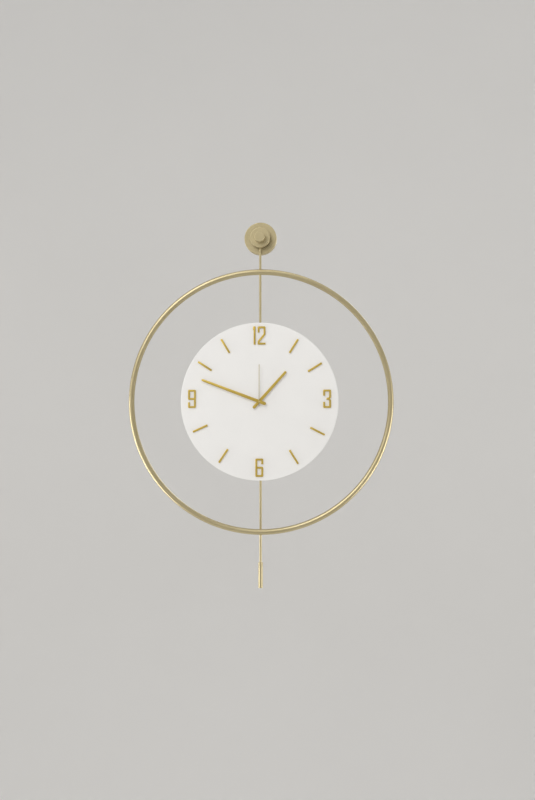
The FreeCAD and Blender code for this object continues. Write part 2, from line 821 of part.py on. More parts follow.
def centre_tube_end():
    """The centre wheel's tube reaches through the cannon pinion's teeth."""
    return inside - hour_wheel_layer[1]


def intermediate_wheel():
    body = arbor(intermediate_place, intermediate_arbor_radius)
    body = body.fuse(wheel(intermediate_place, intermediate_wheel_teeth, rotor_module,
                           rotor_direction, intermediate_wheel_layer))
    return body.fuse(pinion(intermediate_place, intermediate_pinion_teeth, rotor_module,
                            intermediate_direction + 180.0, intermediate_pinion_layer))


def rotor():
    near, far = layer(rotor_magnet_layer)
    body = arbor(rotor_place, arbor_radius)
    body = body.fuse(disc(rotor_place, magnet_radius, near, far))
    return body.fuse(pinion(rotor_place, rotor_pinion_teeth, rotor_module,
                            rotor_direction + 180.0, rotor_pinion_layer))


# ---- motion work ---------------------------------------------------------
def cannon_pinion():
    near, far = layer(cannon_pinion_layer)
    body = pinion(axis_place, cannon_pinion_teeth, motion_module, minute_direction,
                  cannon_pinion_layer)
    pipe_end = minute_hand_near + hand_thickness
    body = body.fuse(disc(axis_place, cannon_pipe_radius, far, pipe_end))
    body = body.cut(disc(axis_place, arbor_radius + running_gap, near, pipe_end))
    return body.cut(disc(axis_place, centre_tube_radius + running_gap, near,
                         centre_tube_end() + shoulder_gap))


def hour_wheel():
    near, far = layer(hour_wheel_layer)
    pipe_end = hour_hand_near + hand_thickness
    body = wheel(axis_place, hour_wheel_teeth, hour_module, minute_direction, hour_wheel_layer)
    body = body.fuse(disc(axis_place, hour_pipe_radius, far, pipe_end))
    return body.cut(disc(axis_place, hour_pipe_radius - hour_pipe_wall, near, pipe_end))


def minute_wheel():
    back = minute_direction + 180.0
    body = arbor(minute_place, setting_arbor_radius, near=cover_back - knob_gap - knob_length)
    body = body.fuse(wheel(minute_place, minute_wheel_teeth, motion_module, back,
                           minute_wheel_layer))
    return body.fuse(pinion(minute_place, minute_pinion_teeth, hour_module, back,
                            minute_pinion_layer))


def set_knob():
    far = cover_back - knob_gap
    near = far - knob_length
    body = disc(minute_place, knob_dia / 2, near, far)
    for number in range(knob_flutes):
        spot = polar(minute_place, knob_dia / 2 + flute_offset, 360.0 * number / knob_flutes)
        body = body.cut(disc(spot, flute_radius, near, far))
    return body.cut(disc(minute_place, setting_arbor_radius, near, far))


# ---- step motor and electrics --------------------------------------------
def coil_middle():
    near, far = layer(stator_layer)
    return (near + far) / 2


def stator():
    near, far = layer(stator_layer)
    shoe = magnet_radius + stator_gap + stator_web
    left = coil_centre - coil_length / 2 - core_gap - leg_width
    right = coil_centre + coil_length / 2 + core_gap + leg_width
    bottom = hand_axis + coil_height - core_width / 2
    shoulder = rotor_place[1] - shoe + stator_web
    body = disc(rotor_place, shoe, near, far)
    body = body.fuse(slab(left, rotor_place[0], shoulder - stator_web, shoulder, near, far))
    body = body.fuse(slab(left, left + leg_width, bottom, shoulder, near, far))
    body = body.fuse(slab(right - leg_width, right, bottom, rotor_place[1], near, far))
    body = body.fuse(slab(left, right, bottom, bottom + core_width, near, far))
    return body.cut(disc(rotor_place, magnet_radius + stator_gap, near, far))


def coil_core_hole():
    near, far = layer(stator_layer)
    height = hand_axis + coil_height
    half = core_width / 2 + core_gap
    return slab(coil_centre - coil_length, coil_centre + coil_length, height - half, height + half,
                near - core_gap, far + core_gap)


def coil_bobbin():
    height = hand_axis + coil_height
    left = coil_centre - coil_length / 2
    right = coil_centre + coil_length / 2
    body = sideways(coil_middle(), height, bobbin_barrel_radius, left, right)
    for start in (left, right - flange_thickness):
        body = body.fuse(sideways(coil_middle(), height, coil_radius, start,
                                  start + flange_thickness))
    return body.cut(coil_core_hole())


def coil_winding():
    height = hand_axis + coil_height
    left = coil_centre - coil_length / 2 + flange_thickness
    right = coil_centre + coil_length / 2 - flange_thickness
    body = sideways(coil_middle(), height, coil_radius - winding_step, left, right)
    return body.cut(sideways(coil_middle(), height, bobbin_barrel_radius, left, right))


def board_layer():
    far = inside - board_depth
    return far - board_thickness, far


def circuit_board():
    near, far = board_layer()
    left = -half_case + case_wall
    body = slab(left, board_right, hand_axis + board_bottom, hand_axis + board_top, near, far)
    chip_left = (left + board_right) / 2 - chip_size / 2
    chip_low = hand_axis + (board_top + board_bottom) / 2
    return body.fuse(slab(chip_left, chip_left + chip_size, chip_low, chip_low + chip_size,
                          near - chip_height, near))


def quartz_crystal():
    near, far = board_layer()
    left = (board_right - half_case + case_wall) / 2 - crystal_length / 2
    low = hand_axis + board_bottom + crystal_width
    body = slab(left, left + crystal_length, low, low + crystal_width, near - crystal_height, near)
    corners = [edge for edge in body.Edges if edge.BoundBox.YLength > crystal_height / 2]
    return body.makeFillet(crystal_end_radius, corners)


def battery_contact_plus():
    right = half_case - case_wall
    height = hand_axis + cell_height
    depth = cell_depth()
    nub_end = cell_right() + cell_nub
    return slab(nub_end + contact_gap, right, height - contact_height / 2,
                height + contact_height / 2, depth - contact_width / 2, depth + contact_width / 2)


def battery_contact_minus():
    """A leaf bowed towards the cell's flat end."""
    left = -half_case + case_wall
    height = hand_axis + cell_height
    half = contact_height / 2
    crown = cell_right() - cell_body - contact_gap
    edges = [line((left, height - half), (left, height + half)),
             line((left, height + half), (left + contact_thickness, height + half)),
             arc((left + contact_thickness, height + half), (crown, height),
                 (left + contact_thickness, height - half)),
             line((left + contact_thickness, height - half), (left, height - half))]
    depth = cell_depth()
    body = plate(edges, depth - contact_width / 2, depth + contact_width / 2)
    hollow = [arc((left, height + half - 2 * contact_thickness),
                  (crown - contact_thickness, height),
                  (left, height - half + 2 * contact_thickness)),
              line((left, height - half + 2 * contact_thickness),
                   (left, height + half - 2 * contact_thickness))]
    return body.cut(plate(hollow, depth - contact_width / 2, depth + contact_width / 2))


def cell_depth():
    """The cell's axis, as deep in its bay as its play allows."""
    return inside - cell_dia / 2 - cell_play / 2


def cell_right():
    """The shoulder at the cell's positive end."""
    return half_case - case_wall - contact_thickness - contact_gap - cell_nub


def battery_cell():
    height = hand_axis + cell_height
    body = sideways(cell_depth(), height, cell_dia / 2, cell_right() - cell_body, cell_right())
    return body.fuse(sideways(cell_depth(), height, cell_nub_dia / 2, cell_right(),
                              cell_right() + cell_nub))


# ---- pendulum and its drive ----------------------------------------------
def hub_far():
    return cover_back - pin_boss_length - hub_gap


def hub_near():
    return hub_far() - hub_length


def pendulum_coil():
    near = cover_front + shoulder_gap
    place = (0, magnet_height)
    body = disc(place, pendulum_coil_radius, near, near + pendulum_coil_length)
    groove = disc(place, pendulum_coil_radius, near + flange_thickness,
                  near + pendulum_coil_length - flange_thickness)
    core = disc(place, pendulum_coil_radius - winding_step, near, near + pendulum_coil_length)
    body = body.cut(groove.cut(core))
    return body.cut(disc(place, pendulum_coil_bore, near, near + pendulum_coil_length))


def pendulum_pin():
    near = hub_near() - hub_gap - clip_thickness - pin_overhang
    shank = disc((0, pivot_height), pin_dia / 2, near, cover_front)
    return shank.fuse(disc((0, pivot_height), pin_head_dia / 2, cover_front, cover_front + pin_head))


def pin_clip():
    far = hub_near() - hub_gap
    near = far - clip_thickness
    body = disc((0, pivot_height), clip_radius, near, far)
    body = body.cut(disc((0, pivot_height), pin_dia / 2, near, far))
    mouth = slab(-pin_dia / 3, pin_dia / 3, pivot_height - clip_radius, pivot_height, near, far)
    return body.cut(mouth)


def pendulum_lever():
    arm_far = hub_far() - hub_gap
    arm_near = arm_far - arm_thickness
    magnet_far = cover_back - magnet_gap
    block_half = rod_dia / 2 + rod_block_wall
    body = disc((0, pivot_height), hub_radius, hub_near(), hub_far())
    body = body.fuse(slab(-arm_width / 2, arm_width / 2, pivot_height - arm_length,
                          pivot_height, arm_near, arm_far))
    body = body.fuse(slab(-block_half, block_half, pivot_height - rod_block_bottom,
                          pivot_height - rod_block_top, pendulum_depth - block_half,
                          max(arm_near + case_wall, pendulum_depth + block_half)))
    body = body.fuse(disc((0, magnet_height), magnet_cup_radius, arm_near, magnet_far))
    body = body.cut(disc((0, pivot_height), pin_dia / 2 + running_gap, hub_near(), hub_far()))
    body = body.cut(disc((0, magnet_height), drive_magnet_radius,
                         magnet_far - drive_magnet_length, magnet_far))
    body = body.cut(upright(pendulum_depth, rod_dia / 2, pivot_height - rod_block_bottom,
                            pendulum_rod_top()))
    return body.cut(sideways(pendulum_depth, set_screw_height(), set_screw_dia / 2,
                             0, block_half))


def set_screw_height():
    return pivot_height - (rod_block_top + rod_block_bottom) / 2


def pendulum_rod_top():
    return pivot_height - rod_block_top - rod_block_wall


def pendulum_magnet():
    far = cover_back - magnet_gap
    return disc((0, magnet_height), drive_magnet_radius, far - drive_magnet_length, far)


def pendulum_set_screw():
    return sideways(pendulum_depth, set_screw_height(), set_screw_dia / 2,
                    rod_dia / 2, rod_dia / 2 + rod_block_wall)


def pendulum_rod():
    shaft = upright(pendulum_depth, rod_dia / 2, weight_top, pendulum_rod_top())
    thread = upright(pendulum_depth, weight_thread_dia / 2, weight_top - weight_thread_length,
                     weight_top)
    return shaft.fuse(thread)


def pendulum_weight():
    body = upright(pendulum_depth, weight_dia / 2, weight_bottom, weight_top)
    ends = [edge for edge in body.Edges if edge.BoundBox.ZLength < 1e-6]
    body = body.makeChamfer(knob_edge_round / 2, ends)
    return body.cut(upright(pendulum_depth, weight_thread_dia / 2,
                            weight_top - weight_thread_length, weight_top))


PIECES = [
    wall_plate, hanging_peg, peg_screw, retaining_disc, cap_nut,
    hanger_eye, upper_rod, ring_tube, ring_set_screw,
    dial_plate, numeral_12, numeral_3, numeral_6, numeral_9, hour_markers,
    rod_anchor, anchor_screws, rod_set_screw,
    movement_case, movement_cover, cover_screws, movement_screws,
    circuit_board, quartz_crystal, stator, coil_bobbin, coil_winding,
    battery_contact_plus, battery_contact_minus, battery_cell,
    pendulum_coil, pendulum_pin, pin_clip,
    second_hand, second_wheel, third_wheel, centre_wheel, intermediate_wheel, rotor,
    minute_hand, cannon_pinion, hour_hand, hour_wheel, minute_wheel, set_knob,
    pendulum_lever, pendulum_magnet, pendulum_set_screw, pendulum_rod, pendulum_weight,
]

os.makedirs("parts", exist_ok=True)
for make_piece in PIECES:
    make_piece().exportStep("parts/" + make_piece.__name__ + ".step")
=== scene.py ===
"""Pendulum wall clock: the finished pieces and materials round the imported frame, as an add-on."""

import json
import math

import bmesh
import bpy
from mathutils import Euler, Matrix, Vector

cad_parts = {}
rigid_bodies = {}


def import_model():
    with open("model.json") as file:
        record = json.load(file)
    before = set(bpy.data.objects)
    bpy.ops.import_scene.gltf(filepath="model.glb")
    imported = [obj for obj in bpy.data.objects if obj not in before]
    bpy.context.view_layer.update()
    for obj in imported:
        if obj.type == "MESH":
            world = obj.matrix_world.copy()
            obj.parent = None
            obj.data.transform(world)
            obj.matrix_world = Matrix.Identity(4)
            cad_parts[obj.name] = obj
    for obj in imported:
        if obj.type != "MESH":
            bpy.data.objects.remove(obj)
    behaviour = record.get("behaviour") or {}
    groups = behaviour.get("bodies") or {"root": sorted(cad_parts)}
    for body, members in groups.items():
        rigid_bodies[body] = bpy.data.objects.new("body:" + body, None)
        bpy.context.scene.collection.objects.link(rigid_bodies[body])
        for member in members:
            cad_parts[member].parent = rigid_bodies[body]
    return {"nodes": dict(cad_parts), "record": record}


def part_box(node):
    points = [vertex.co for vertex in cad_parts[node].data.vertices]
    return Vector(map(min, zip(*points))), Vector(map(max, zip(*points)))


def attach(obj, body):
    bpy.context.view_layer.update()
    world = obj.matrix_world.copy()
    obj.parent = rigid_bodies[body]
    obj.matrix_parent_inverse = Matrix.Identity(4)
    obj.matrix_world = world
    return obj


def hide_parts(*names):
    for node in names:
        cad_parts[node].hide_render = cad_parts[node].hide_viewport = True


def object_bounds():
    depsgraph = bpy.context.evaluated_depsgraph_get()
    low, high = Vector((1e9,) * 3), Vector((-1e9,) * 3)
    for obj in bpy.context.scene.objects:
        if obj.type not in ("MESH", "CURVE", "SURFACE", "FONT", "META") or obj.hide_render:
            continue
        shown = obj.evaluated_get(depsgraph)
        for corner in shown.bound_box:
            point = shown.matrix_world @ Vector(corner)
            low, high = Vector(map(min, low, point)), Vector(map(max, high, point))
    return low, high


bl_info = {
    "name": "Pendulum wall clock",
    "version": (1, 0, 0),
    "blender": (4, 5, 0),
    "location": "3D View > Sidebar > Clock",
    "description": "Finishes the pieces of a ring-framed pendulum wall clock and sets its studio",
    "category": "Object",
}

for leftover in list(bpy.data.objects):
    bpy.data.objects.remove(leftover)
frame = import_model()
CAD_BOX = [list(corner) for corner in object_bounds()]

MM = 0.001                   # metres in a millimetre
WELD = 0.001 * MM            # points nearer than this are one
FLAT = math.radians(0.4)     # faces that meet at less than this are one flat face
CREASE = math.radians(32)    # edges that turn more than this stay crisp in shading
EDGE = math.radians(35)      # edges that turn more than this are rounded
RIM = math.radians(60)       # the same for the weight, whose shallow dimple stays crisp
ROD_STEPS = 48               # facets round a rod
ROUND_STEPS = 96             # facets round anything larger
ROD_CHAMFER_SHARE = 0.2      # a rod's end chamfer against its radius
THREAD_SHARE = 0.75          # a thread's core radius against its rod's radius
SLOT_OF = {part["node"]: part["material_slot"] for part in frame["record"]["subparts"]}
BODY_OF = {node: body for body, nodes in frame["record"]["behaviour"]["bodies"].items()
           for node in nodes}


# ---- small helpers -------------------------------------------------------
def linear(code):
    """An sRGB hex colour as linear red, green and blue."""
    shares = [int(code[place:place + 2], 16) / 255 for place in (1, 3, 5)]
    return tuple(share / 12.92 if share <= 0.04045 else ((share + 0.055) / 1.055) ** 2.4
                 for share in shares)


def middle(node):
    """The centre of a node's box."""
    low, high = (Vector(corner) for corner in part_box(node))
    return (low + high) / 2


def add(tree, kind, inputs=None, **settings):
    """Adds a node; an input's value is a socket to link or a number or colour to set."""
    made = tree.nodes.new(kind)
    for name, value in settings.items():
        setattr(made, name, value)
    for name, value in (inputs or {}).items():
        if isinstance(value, bpy.types.NodeSocket):
            tree.links.new(value, made.inputs[name])
        else:
            made.inputs[name].default_value = value
    return made


def soften(bm, width, segments=3, sharp=EDGE):
    """Rounds every sharp edge, as deburring or a mould's radius does."""
    edges = [edge for edge in bm.edges
             if len(edge.link_faces) == 2 and edge.calc_face_angle() > sharp]
    bmesh.ops.bevel(bm, geom=edges, offset=width, offset_type="OFFSET", affect="EDGES",
                    segments=segments, profile=0.5, material=-1, clamp_overlap=True)


def copy_of(node):
    """A node's mesh as a clean bmesh: doubles merged and flat triangles joined."""
    bm = bmesh.new()
    bm.from_mesh(frame["nodes"][node].data)
    bmesh.ops.remove_doubles(bm, verts=bm.verts, dist=WELD)
    bmesh.ops.dissolve_limit(bm, angle_limit=FLAT, verts=bm.verts, edges=bm.edges)
    return bm


def lathe(bm, profile, centre, axis, steps):
    """Spins a profile of (radius, place along the axis) about an axis through centre."""
    along = Vector(axis)
    upright = abs(along.z) > 0.5
    out = Vector((1, 0, 0)) if upright else Vector((0, 0, 1))
    base = Vector(centre) - along * Vector(centre).dot(along)
    points = [bm.verts.new(base + out * radius + along * place) for radius, place in profile]
    wire = [bm.edges.new(pair) for pair in zip(points, points[1:])]
    bmesh.ops.spin(bm, geom=points + wire, cent=base, axis=along, angle=math.tau,
                   steps=steps, use_merge=True)
    bmesh.ops.remove_doubles(bm, verts=bm.verts, dist=WELD)
    bmesh.ops.recalc_face_normals(bm, faces=bm.faces)


def smooth_object(name, bm, finishes):
    """Turns a bmesh into a smooth-shaded object in the scene."""
    mesh = bpy.data.meshes.new(name)
    bm.to_mesh(mesh)
    bm.free()
    mesh.shade_smooth()
    for finish in finishes:
        mesh.materials.append(bpy.data.materials[finish])
    made = bpy.data.objects.new(name, mesh)
    bpy.context.scene.collection.objects.link(made)
    return made


def publish(name, bm, finishes, body, nodes=()):
    """Turns a bmesh into a piece that rides on a body and stands for its nodes."""
    piece = smooth_object(name, bm, finishes)
    piece.data.set_sharp_from_angle(angle=CREASE)
    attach(piece, body)
    if nodes:
        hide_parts(*nodes)
    return piece


def shaped(node, width, finish):
    """A node made again with its edges rounded."""
    bm = copy_of(node)
    soften(bm, width)
    publish(node + "_shaped", bm, [finish], BODY_OF[node], [node])


def carry(nodes, finish):
    """Gives CAD nodes a finish and leaves their shape as it is."""
    for node in nodes:
        slots = frame["nodes"][node].data.materials
        slots.clear()
        slots.append(bpy.data.materials[finish])


# ---- materials -----------------------------------------------------------
def start_finish(name):
    """An empty material and the place of each point of the piece, in metres."""
    material = bpy.data.materials.new(name)
    material.use_nodes = True
    tree = material.node_tree
    tree.nodes.clear()
    return tree, add(tree, "ShaderNodeTexCoord").outputs["Object"]


def grained(tree, place, grain):
    """Fine noise whose grain is a size in millimetres along X, Y and Z."""
    sized = add(tree, "ShaderNodeMapping",
                {"Vector": place, "Scale": [1 / (size * MM) for size in grain]})
    return add(tree, "ShaderNodeTexNoise", {"Vector": sized.outputs["Vector"], "Scale": 1.0,
                                            "Detail": 4.0, "Roughness": 0.6}).outputs["Fac"]


def turned(tree, place, centre, pitch):
    """Concentric tool marks about an axis along Y, roughly a pitch in millimetres apart."""
    from_axis = add(tree, "ShaderNodeMapping",
                    {"Vector": place, "Location": (-centre.x, 0, -centre.z), "Scale": (1, 0, 1)})
    radius = add(tree, "ShaderNodeVectorMath", {0: from_axis.outputs["Vector"]},
                 operation="LENGTH").outputs["Value"]
    marks = add(tree, "ShaderNodeMath", {0: radius, 1: pitch * MM}, operation="DIVIDE")
    return add(tree, "ShaderNodeTexNoise",
               {"W": marks.outputs["Value"], "Scale": 1.0, "Detail": 2.0},
               noise_dimensions="1D").outputs["Fac"]


def wound(tree, place, direction, pitch):
    """Ridges of wire side by side along a direction, a pitch in millimetres apart."""
    along = add(tree, "ShaderNodeVectorMath", {0: place, 1: direction}, operation="DOT_PRODUCT")
    turns = add(tree, "ShaderNodeMath", {0: along.outputs["Value"], 1: math.tau / (pitch * MM)},
                operation="MULTIPLY")
    wave = add(tree, "ShaderNodeMath", {0: turns.outputs["Value"]}, operation="SINE")
    return add(tree, "ShaderNodeMapRange", {"Value": wave.outputs["Value"],
                                            "From Min": -1.0, "From Max": 1.0}).outputs["Result"]


def end_finish(tree, place, texture, tones, patch, roughness, relief, **surface):
    """Colour drifts between two tones over patches; the texture drives roughness and relief.

    patch and relief are in millimetres, and surface holds the shader's constant values.
    """
    drift = add(tree, "ShaderNodeTexNoise", {"Vector": place, "Scale": 1 / (patch * MM),
                                             "Detail": 3.0})
    dark, light = tones
    tone = add(tree, "ShaderNodeMix", {0: drift.outputs["Fac"], 6: (*dark, 1), 7: (*light, 1)},
               data_type="RGBA")
    rough = add(tree, "ShaderNodeMapRange", {"Value": texture, "To Min": roughness[0],
                                             "To Max": roughness[1]})
    bump = add(tree, "ShaderNodeBump", {"Height": texture, "Distance": relief * MM})
    shader = add(tree, "ShaderNodeBsdfPrincipled",
                 {"Base Color": tone.outputs[2], "Roughness": rough.outputs["Result"],
                  "Normal": bump.outputs["Normal"], **surface})
    add(tree, "ShaderNodeOutputMaterial", {"Surface": shader.outputs["BSDF"]})


def champagne_plate():
    """Champagne-gold plating over satin-polished tube: soft highlights, faint cloudiness."""
    tree, place = start_finish("champagne_plate")
    colours = bpy.context.scene.clock_colours
    end_finish(tree, place, grained(tree, place, (0.7, 0.7, 0.7)),
               tones=(colours.gold_dark, colours.gold_light),
               patch=60, roughness=(0.32, 0.44), relief=0.006, Metallic=1.0)


def champagne_turned():
    """The same plating over faced discs: fine rings of tool marks round the knob's axis."""
    tree, place = start_finish("champagne_turned")
    colours = bpy.context.scene.clock_colours
    end_finish(tree, place, turned(tree, place, middle("wall_plate"), 0.35),
               tones=(colours.gold_dark, colours.gold_light),
               patch=40, roughness=(0.34, 0.50), relief=0.008, Metallic=1.0)


def champagne_drawn():
    """The same plating over drawn rod: faint streaks that run its length."""
    tree, place = start_finish("champagne_drawn")
    colours = bpy.context.scene.clock_colours
    end_finish(tree, place, grained(tree, place, (0.25, 0.25, 25)),
               tones=(colours.gold_dark, colours.gold_light),
               patch=50, roughness=(0.33, 0.46), relief=0.004, Metallic=1.0)


def gilt_satin():
    """Warm gilt on stamped brass, brushed lightly one way."""
    tree, place = start_finish("gilt_satin")
    colours = bpy.context.scene.clock_colours
    end_finish(tree, place, grained(tree, place, (6, 6, 0.25)),
               tones=(colours.gilt_dark, colours.gilt_light),
               patch=25, roughness=(0.38, 0.50), relief=0.004, Metallic=1.0)


def powder_coat():
    """White powder coat: matt, with the faint orange peel of a baked film."""
    tree, place = start_finish("powder_coat")
    colours = bpy.context.scene.clock_colours
    end_finish(tree, place, grained(tree, place, (1.6, 1.6, 1.6)),
               tones=(colours.dial_dark, colours.dial_light),
               patch=90, roughness=(0.52, 0.62), relief=0.02, IOR=1.5)


def zinc_plate():
    """Bright zinc on steel: cool, slightly uneven from the bath."""
    tree, place = start_finish("zinc_plate")
    end_finish(tree, place, grained(tree, place, (0.6, 0.6, 0.6)),
               tones=(linear("#9C9EA2"), linear("#C6C9CC")),
               patch=6, roughness=(0.28, 0.42), relief=0.008, Metallic=1.0)


def moulded_abs():
    """Black ABS with a spark-eroded mould texture, drawn a little coarse so that it shows."""
    tree, place = start_finish("moulded_abs")
    end_finish(tree, place, grained(tree, place, (0.6, 0.6, 0.6)),
               tones=(linear("#19191B"), linear("#232326")),
               patch=20, roughness=(0.40, 0.55), relief=0.03, IOR=1.53)


def moulded_acetal():
    """Natural acetal: milky, waxy and smooth, as clock wheels are."""
    tree, place = start_finish("moulded_acetal")
    end_finish(tree, place, grained(tree, place, (0.5, 0.5, 0.5)),
               tones=(linear("#D8D2C0"), linear("#E7E2D4")),
               patch=8, roughness=(0.32, 0.42), relief=0.004, IOR=1.48)


def enamelled_copper(name, direction):
    """Enamelled copper wire wound in layers, its turns drawn at a fifth of a millimetre."""
    tree, place = start_finish(name)
    end_finish(tree, place, wound(tree, place, direction, 0.2),
               tones=(linear("#8A4522"), linear("#B8683A")),
               patch=3, roughness=(0.20, 0.36), relief=0.05, Metallic=1.0)


def soft_iron():
    """Annealed iron lamination, grey and dull."""
    tree, place = start_finish("soft_iron")
    end_finish(tree, place, grained(tree, place, (2.0, 0.3, 0.3)),
               tones=(linear("#6A6A69"), linear("#8C8B88")),
               patch=4, roughness=(0.38, 0.52), relief=0.006, Metallic=1.0)


def solder_mask():
    """Green solder mask over glass cloth, whose half-millimetre weave shows through faintly."""
    tree, place = start_finish("solder_mask")
    warp = wound(tree, place, (1, 0, 0), 0.5)
    weft = wound(tree, place, (0, 0, 1), 0.5)
    weave = add(tree, "ShaderNodeMath", {0: warp, 1: weft}, operation="MULTIPLY").outputs["Value"]
    end_finish(tree, place, weave,
               tones=(linear("#0E3A21"), linear("#165030")),
               patch=5, roughness=(0.22, 0.32), relief=0.01, IOR=1.5)


def bright_nickel():
    """Nickel plate on spring strip and cans: bright with a warm cast."""
    tree, place = start_finish("bright_nickel")
    end_finish(tree, place, grained(tree, place, (3.0, 0.3, 0.3)),
               tones=(linear("#B5B1A8"), linear("#D2CFC7")),
               patch=5, roughness=(0.16, 0.26), relief=0.003, Metallic=1.0)


def sintered_ferrite():
    """Sintered ferrite: charcoal with a fine mineral grain."""
    tree, place = start_finish("sintered_ferrite")
    end_finish(tree, place, grained(tree, place, (0.3, 0.3, 0.3)),
               tones=(linear("#303033"), linear("#47474A")),
               patch=2, roughness=(0.45, 0.62), relief=0.012, Metallic=0.5)


def cell_sleeve():
    """Shrunk plastic sleeve, glossy slate blue and unprinted."""
    tree, place = start_finish("cell_sleeve")
    end_finish(tree, place, grained(tree, place, (2.0, 2.0, 2.0)),
               tones=(linear("#2F4858"), linear("#3A566A")),
               patch=15, roughness=(0.18, 0.26), relief=0.01, IOR=1.52)


def ground_steel():
    """Centreless-ground steel pin: bright, with fine rings round it."""
    tree, place = start_finish("ground_steel")
    end_finish(tree, place, grained(tree, place, (2.0, 0.15, 2.0)),
               tones=(linear("#9A9B9D"), linear("#BDBEC0")),
               patch=4, roughness=(0.18, 0.28), relief=0.003, Metallic=1.0)


def studio_paper():
    """Seamless background paper, pale and matt."""
    tree, place = start_finish("studio_paper")
    end_finish(tree, place, grained(tree, place, (4, 4, 4)),
               tones=(linear("#E3E2E0"), linear("#E7E6E4")),
               patch=900, roughness=(0.85, 0.95), relief=0.05, IOR=1.45)


FINISH_OF_SLOT = {
    "gold_metal": "champagne_plate", "gilt_metal": "gilt_satin", "white_dial": "powder_coat",
    "zinc_plated_steel": "zinc_plate", "black_plastic": "moulded_abs",
    "natural_plastic": "moulded_acetal", "copper_wire": "motor_winding", "soft_iron": "soft_iron",
    "board_green": "solder_mask", "nickel": "bright_nickel", "magnet": "sintered_ferrite",
    "cell_jacket": "cell_sleeve", "steel_pin": "ground_steel",
}


# ---- settings ------------------------------------------------------------
def colour(name, description, code):
    return bpy.props.FloatVectorProperty(name=name, description=description, subtype="COLOR",
                                         size=3, min=0.0, max=1.0, default=linear(code))


def length(name, description, millimetres):
    return bpy.props.FloatProperty(name=name, description=description, unit="LENGTH",
                                   precision=5, min=0.0, default=millimetres * MM)


class ClockColours(bpy.types.PropertyGroup):
    """Colours of the clock's finishes."""
    gold_dark: colour("Gold, dark", "Darker tone of the champagne gold", "#B8AB84")
    gold_light: colour("Gold, light", "Lighter tone of the champagne gold", "#CABD99")
    gilt_dark: colour("Gilt, dark", "Darker tone of the hands and numerals", "#C6AB50")
    gilt_light: colour("Gilt, light", "Lighter tone of the hands and numerals", "#D9BE67")
    dial_dark: colour("Dial, dark", "Darker tone of the dial's coat", "#F0EFED")
    dial_light: colour("Dial, light", "Lighter tone of the dial's coat", "#F6F5F3")


class ClockSizes(bpy.types.PropertyGroup):
    """Sizes of the clock's finishing work."""
    trim_edge: length("Trim edge", "Radius on the edges of numerals and markers", 0.35)
    hand_edge: length("Hand edge", "Radius on the edges of the hands", 0.14)
    moulded_edge: length("Moulded edge", "Radius on the edges of moulded pieces", 0.25)
    weight_edge: length("Weight edge", "Radius on the ends of the pendulum's weight", 0.5)


class ClockStudio(bpy.types.PropertyGroup):
    """Camera, lights and background."""
    camera_place: bpy.props.FloatVectorProperty(
        name="Camera place", description="Where the camera stands", subtype="XYZ", unit="LENGTH",
        size=3, default=(0.153, -2.133, -0.342))
    camera_yaw: bpy.props.FloatProperty(
        name="Camera yaw", description="Turn of the camera to the left of the wall's normal",
        unit="ROTATION", default=math.radians(3.6))
    camera_pitch: bpy.props.FloatProperty(
        name="Camera pitch", description="Tilt of the camera above the horizon",
        unit="ROTATION", default=math.radians(1.3))
    lens: bpy.props.FloatProperty(
        name="Lens", description="Focal length in millimetres", min=1.0, default=50.71)
    shift: bpy.props.FloatVectorProperty(
        name="Shift", description="Framing shift of the camera", size=2, default=(-0.0041, -0.0079))
    floor_drop: bpy.props.FloatProperty(
        name="Floor drop", description="From the clock's lowest point to the floor",
        unit="LENGTH", default=1.9)
    studio_radius: bpy.props.FloatProperty(
        name="Studio radius", description="From the clock to the studio's curved wall",
        unit="LENGTH", default=4.2)
    sky: bpy.props.FloatProperty(
        name="Sky", description="Strength of the even light from all round", min=0.0, default=0.62)


# ---- pieces --------------------------------------------------------------
class CLOCK_OT_finishes(bpy.types.Operator):
    """Makes every material of the clock"""
    bl_idname = "clock.finishes"
    bl_label = "Finishes"

    def execute(self, context):
        for make in (champagne_plate, champagne_turned, champagne_drawn, gilt_satin, powder_coat,
                     zinc_plate, moulded_abs, moulded_acetal, soft_iron, solder_mask, bright_nickel,
                     sintered_ferrite, cell_sleeve, ground_steel, studio_paper):
            make()
        enamelled_copper("motor_winding", (1, 0, 0))
        enamelled_copper("drive_winding", (0, 1, 0))
        for node, slot in SLOT_OF.items():
            carry([node], FINISH_OF_SLOT[slot])
        return {"FINISHED"}


class CLOCK_OT_wall_knob(bpy.types.Operator):
    """Finishes the stepped knob on the wall"""
    bl_idname = "clock.wall_knob"
    bl_label = "Wall knob"

    def execute(self, context):
        carry(["wall_plate", "retaining_disc", "cap_nut", "hanging_peg", "hanger_eye"],
              "champagne_turned")
        return {"FINISHED"}


class CLOCK_OT_rods(bpy.types.Operator):
    """Makes the upper rod and the pendulum rod"""
    bl_idname = "clock.rods"
    bl_label = "Rods"

    def execute(self, context):
        for node in ("upper_rod", "pendulum_rod"):
            low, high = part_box(node)
            radius = (high[0] - low[0]) / 2
            chamfer = radius * ROD_CHAMFER_SHARE
            profile = [(0, low[2]), (radius - chamfer, low[2]), (radius, low[2] + chamfer),
                       (radius, high[2] - chamfer), (radius - chamfer, high[2]), (0, high[2])]
            if node == "pendulum_rod":
                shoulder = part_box("pendulum_weight")[1][2]
                core = radius * THREAD_SHARE
                profile = [(0, low[2]), (core - chamfer, low[2]), (core, low[2] + chamfer),
                           (core, shoulder), (radius, shoulder), *profile[3:]]
            bm = bmesh.new()
            lathe(bm, profile, middle(node), (0, 0, 1), ROD_STEPS)
            publish(node + "_shaped", bm, ["champagne_drawn"], BODY_OF[node],
                    [node])
        return {"FINISHED"}


